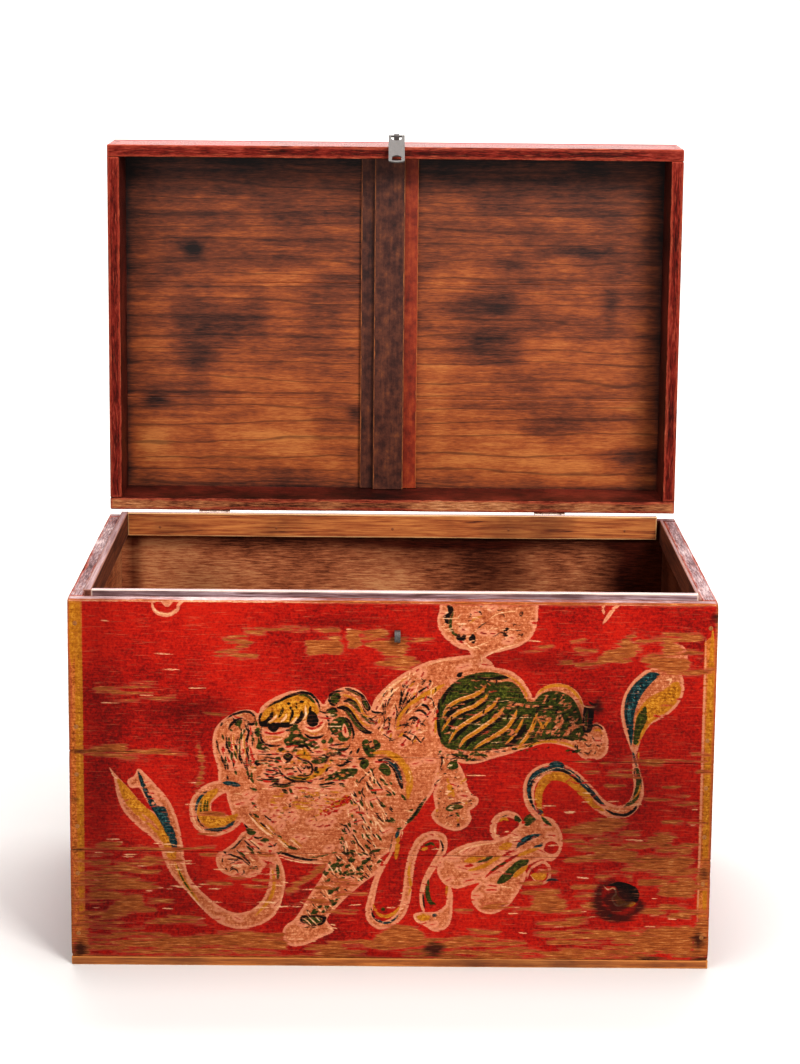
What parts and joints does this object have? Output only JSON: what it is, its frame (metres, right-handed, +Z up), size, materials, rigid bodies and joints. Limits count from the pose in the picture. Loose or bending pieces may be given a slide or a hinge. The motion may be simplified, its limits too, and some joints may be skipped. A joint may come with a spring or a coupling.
{
  "type": "wooden trunk",
  "caption": "Painted wooden storage trunk with a hinged tray-shaped lid, a raised lip round its mouth, and a hasp and staple at the front.",
  "frame": {"origin": "centre of the underside of the box, on the floor", "axes": "+X to the trunk's right as seen from the front, +Y from the painted front to the back, +Z up; the lid is stored open, as pictured"},
  "size_m": [0.68, 0.5394, 0.8578],
  "materials": {
    "painted_front": "worn red lacquer on planed softwood, painted with a figure in ochre, green and pink",
    "red_lacquer": "worn dark red lacquer on planed softwood, stained brown on the inside",
    "stained_wood": "brown-stained planed softwood",
    "board_wood": "bare planed softwood, darkened by age",
    "hinge_steel": "dull pressed steel",
    "hasp_steel": "dull galvanised steel strip",
    "nail_iron": "dark rusted iron"
  },
  "bodies": {
    "box": {"front_plank_low": "painted_front", "front_plank_middle": "painted_front", "front_plank_top": "painted_front", "back_plank_low": "red_lacquer", "back_plank_top": "red_lacquer", "left_plank_low": "red_lacquer", "left_plank_top": "red_lacquer", "right_plank_low": "red_lacquer", "right_plank_top": "red_lacquer", "bottom_board_front": "board_wood", "bottom_board_back": "board_wood", "liner_front": "stained_wood", "liner_back": "stained_wood", "liner_left": "stained_wood", "liner_right": "stained_wood", "hinge_leaf_box_left": "hinge_steel", "hinge_leaf_box_right": "hinge_steel", "hinge_pin_left": "hinge_steel", "hinge_pin_right": "hinge_steel", "box_staple": "hasp_steel", "front_nails": "nail_iron", "back_nails": "nail_iron", "bottom_nails": "nail_iron", "liner_brads": "nail_iron", "hinge_screws_box": "hinge_steel"},
    "lid": {"lid_front": "red_lacquer", "lid_back": "red_lacquer", "lid_left": "red_lacquer", "lid_right": "red_lacquer", "lid_board_front": "board_wood", "lid_board_middle": "board_wood", "lid_board_back": "board_wood", "lid_batten": "stained_wood", "hinge_leaf_lid_left": "hinge_steel", "hinge_leaf_lid_right": "hinge_steel", "lid_staple": "hasp_steel", "lid_corner_nails": "nail_iron", "lid_top_nails": "nail_iron", "hinge_screws_lid": "hinge_steel"},
    "hasp": {"hasp_strap": "hasp_steel"}
  },
  "joints": [
    {"name": "lid_hinge", "type": "hinge", "parent": "box", "child": "lid", "pos_m": [0, 0.2231, 0.4018], "axis": [1, 0, 0], "range_deg": [0, 90]},
    {"name": "hasp_pivot", "type": "hinge", "parent": "lid", "child": "hasp", "pos_m": [0.001, 0.2509, 0.8547], "axis": [1, 0, 0], "range_deg": [-19.83, 0]}
  ],
  "couplings": [
    {"joint": "hasp_pivot", "follows": "lid_hinge", "ratio": -0.21925}
  ]
}
